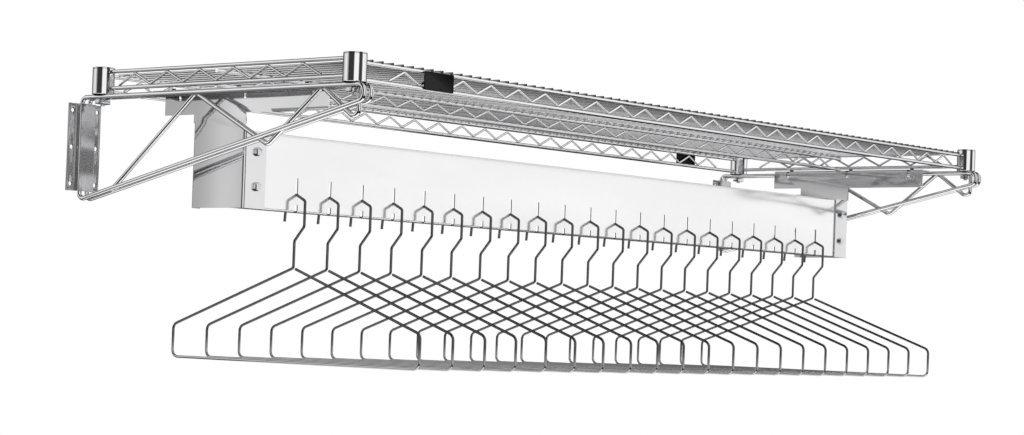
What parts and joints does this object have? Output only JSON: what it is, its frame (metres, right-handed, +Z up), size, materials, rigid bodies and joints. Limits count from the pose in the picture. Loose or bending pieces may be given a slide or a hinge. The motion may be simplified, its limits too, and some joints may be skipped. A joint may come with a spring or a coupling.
{
  "type": "wall-mounted garment rack",
  "caption": "Chrome wire shelf on two wire wall brackets, with a slotted metal panel under it that holds a row of wire coat hangers, each free to swing.",
  "frame": {"origin": "back face of the left wall channel's outer flange, on the wall, midway between that flange's middle and upper screw holes", "axes": "+X along the rack from its left end to its right end as seen from the room, +Y into the wall (the rack stands out to -Y), +Z up"},
  "size_m": [1.5496, 0.4846, 0.3672],
  "materials": {
    "chrome_steel": "bright chrome plate on steel wire, tube and channel",
    "hanger_chrome": "bright plated steel wire",
    "stainless_sheet": "polished stainless sheet, slightly soft in its reflections",
    "zinc_fastener": "zinc plate, satin",
    "black_tag": "blank black plastic, satin"
  },
  "bodies": {
    "rack": {"wall_channel_left": "chrome_steel", "wall_channel_right": "chrome_steel", "bracket_rod_left_outer": "chrome_steel", "bracket_rod_left_inner": "chrome_steel", "bracket_zigzag_left": "chrome_steel", "left_truss": "chrome_steel", "end_plate_left": "stainless_sheet", "bracket_rod_right_outer": "chrome_steel", "bracket_rod_right_inner": "chrome_steel", "bracket_zigzag_right": "chrome_steel", "right_truss": "chrome_steel", "end_plate_right": "stainless_sheet", "collar_front_left": "chrome_steel", "collar_plug_front_left": "zinc_fastener", "clamp_block_front_left": "zinc_fastener", "clamp_bolt_front_left": "zinc_fastener", "collar_rear_left": "chrome_steel", "collar_plug_rear_left": "zinc_fastener", "clamp_block_rear_left": "zinc_fastener", "clamp_bolt_rear_left": "zinc_fastener", "collar_front_right": "chrome_steel", "collar_plug_front_right": "zinc_fastener", "clamp_block_front_right": "zinc_fastener", "clamp_bolt_front_right": "zinc_fastener", "collar_rear_right": "chrome_steel", "collar_plug_rear_right": "zinc_fastener", "clamp_block_rear_right": "zinc_fastener", "clamp_bolt_rear_right": "zinc_fastener", "shelf_deck": "chrome_steel", "front_truss": "chrome_steel", "rear_truss": "chrome_steel", "centre_truss": "chrome_steel", "front_tag": "black_tag", "rear_tag": "black_tag", "hanger_panel": "stainless_sheet", "panel_bolt_left_lower": "zinc_fastener", "panel_bolt_left_upper": "zinc_fastener", "panel_bolt_right_lower": "zinc_fastener", "panel_bolt_right_upper": "zinc_fastener"},
    "hanger_01": {"hanger_01": "hanger_chrome"},
    "hanger_02": {"hanger_02": "hanger_chrome"},
    "hanger_03": {"hanger_03": "hanger_chrome"},
    "hanger_04": {"hanger_04": "hanger_chrome"},
    "hanger_05": {"hanger_05": "hanger_chrome"},
    "hanger_06": {"hanger_06": "hanger_chrome"},
    "hanger_07": {"hanger_07": "hanger_chrome"},
    "hanger_08": {"hanger_08": "hanger_chrome"},
    "hanger_09": {"hanger_09": "hanger_chrome"},
    "hanger_10": {"hanger_10": "hanger_chrome"},
    "hanger_11": {"hanger_11": "hanger_chrome"},
    "hanger_12": {"hanger_12": "hanger_chrome"},
    "hanger_13": {"hanger_13": "hanger_chrome"},
    "hanger_14": {"hanger_14": "hanger_chrome"},
    "hanger_15": {"hanger_15": "hanger_chrome"},
    "hanger_16": {"hanger_16": "hanger_chrome"},
    "hanger_17": {"hanger_17": "hanger_chrome"},
    "hanger_18": {"hanger_18": "hanger_chrome"},
    "hanger_19": {"hanger_19": "hanger_chrome"},
    "hanger_20": {"hanger_20": "hanger_chrome"},
    "hanger_21": {"hanger_21": "hanger_chrome"}
  },
  "joints": [
    {"name": "hanger_01_swing", "type": "hinge", "parent": "rack", "child": "hanger_01", "pos_m": [0.1443, -0.26155, -0.08305], "axis": [1, 0, 0], "range_deg": [-67, 17]},
    {"name": "hanger_02_swing", "type": "hinge", "parent": "rack", "child": "hanger_02", "pos_m": [0.20666, -0.26155, -0.08305], "axis": [1, 0, 0], "range_deg": [-67, 17]},
    {"name": "hanger_03_swing", "type": "hinge", "parent": "rack", "child": "hanger_03", "pos_m": [0.26902, -0.26155, -0.08305], "axis": [1, 0, 0], "range_deg": [-67, 17]},
    {"name": "hanger_04_swing", "type": "hinge", "parent": "rack", "child": "hanger_04", "pos_m": [0.33138, -0.26155, -0.08305], "axis": [1, 0, 0], "range_deg": [-67, 17]},
    {"name": "hanger_05_swing", "type": "hinge", "parent": "rack", "child": "hanger_05", "pos_m": [0.39374, -0.26155, -0.08305], "axis": [1, 0, 0], "range_deg": [-67, 17]},
    {"name": "hanger_06_swing", "type": "hinge", "parent": "rack", "child": "hanger_06", "pos_m": [0.4561, -0.26155, -0.08305], "axis": [1, 0, 0], "range_deg": [-67, 17]},
    {"name": "hanger_07_swing", "type": "hinge", "parent": "rack", "child": "hanger_07", "pos_m": [0.51846, -0.26155, -0.08305], "axis": [1, 0, 0], "range_deg": [-67, 17]},
    {"name": "hanger_08_swing", "type": "hinge", "parent": "rack", "child": "hanger_08", "pos_m": [0.58082, -0.26155, -0.08305], "axis": [1, 0, 0], "range_deg": [-67, 17]},
    {"name": "hanger_09_swing", "type": "hinge", "parent": "rack", "child": "hanger_09", "pos_m": [0.64318, -0.26155, -0.08305], "axis": [1, 0, 0], "range_deg": [-67, 17]},
    {"name": "hanger_10_swing", "type": "hinge", "parent": "rack", "child": "hanger_10", "pos_m": [0.70554, -0.26155, -0.08305], "axis": [1, 0, 0], "range_deg": [-67, 17]},
    {"name": "hanger_11_swing", "type": "hinge", "parent": "rack", "child": "hanger_11", "pos_m": [0.7679, -0.26155, -0.08305], "axis": [1, 0, 0], "range_deg": [-67, 17]},
    {"name": "hanger_12_swing", "type": "hinge", "parent": "rack", "child": "hanger_12", "pos_m": [0.83026, -0.26155, -0.08305], "axis": [1, 0, 0], "range_deg": [-67, 17]},
    {"name": "hanger_13_swing", "type": "hinge", "parent": "rack", "child": "hanger_13", "pos_m": [0.89262, -0.26155, -0.08305], "axis": [1, 0, 0], "range_deg": [-67, 17]},
    {"name": "hanger_14_swing", "type": "hinge", "parent": "rack", "child": "hanger_14", "pos_m": [0.95498, -0.26155, -0.08305], "axis": [1, 0, 0], "range_deg": [-67, 17]},
    {"name": "hanger_15_swing", "type": "hinge", "parent": "rack", "child": "hanger_15", "pos_m": [1.01734, -0.26155, -0.08305], "axis": [1, 0, 0], "range_deg": [-67, 17]},
    {"name": "hanger_16_swing", "type": "hinge", "parent": "rack", "child": "hanger_16", "pos_m": [1.0797, -0.26155, -0.08305], "axis": [1, 0, 0], "range_deg": [-67, 17]},
    {"name": "hanger_17_swing", "type": "hinge", "parent": "rack", "child": "hanger_17", "pos_m": [1.14206, -0.26155, -0.08305], "axis": [1, 0, 0], "range_deg": [-67, 17]},
    {"name": "hanger_18_swing", "type": "hinge", "parent": "rack", "child": "hanger_18", "pos_m": [1.20442, -0.26155, -0.08305], "axis": [1, 0, 0], "range_deg": [-67, 17]},
    {"name": "hanger_19_swing", "type": "hinge", "parent": "rack", "child": "hanger_19", "pos_m": [1.26678, -0.26155, -0.08305], "axis": [1, 0, 0], "range_deg": [-67, 17]},
    {"name": "hanger_20_swing", "type": "hinge", "parent": "rack", "child": "hanger_20", "pos_m": [1.32914, -0.26155, -0.08305], "axis": [1, 0, 0], "range_deg": [-67, 17]},
    {"name": "hanger_21_swing", "type": "hinge", "parent": "rack", "child": "hanger_21", "pos_m": [1.3915, -0.26155, -0.08305], "axis": [1, 0, 0], "range_deg": [-67, 17]}
  ]
}
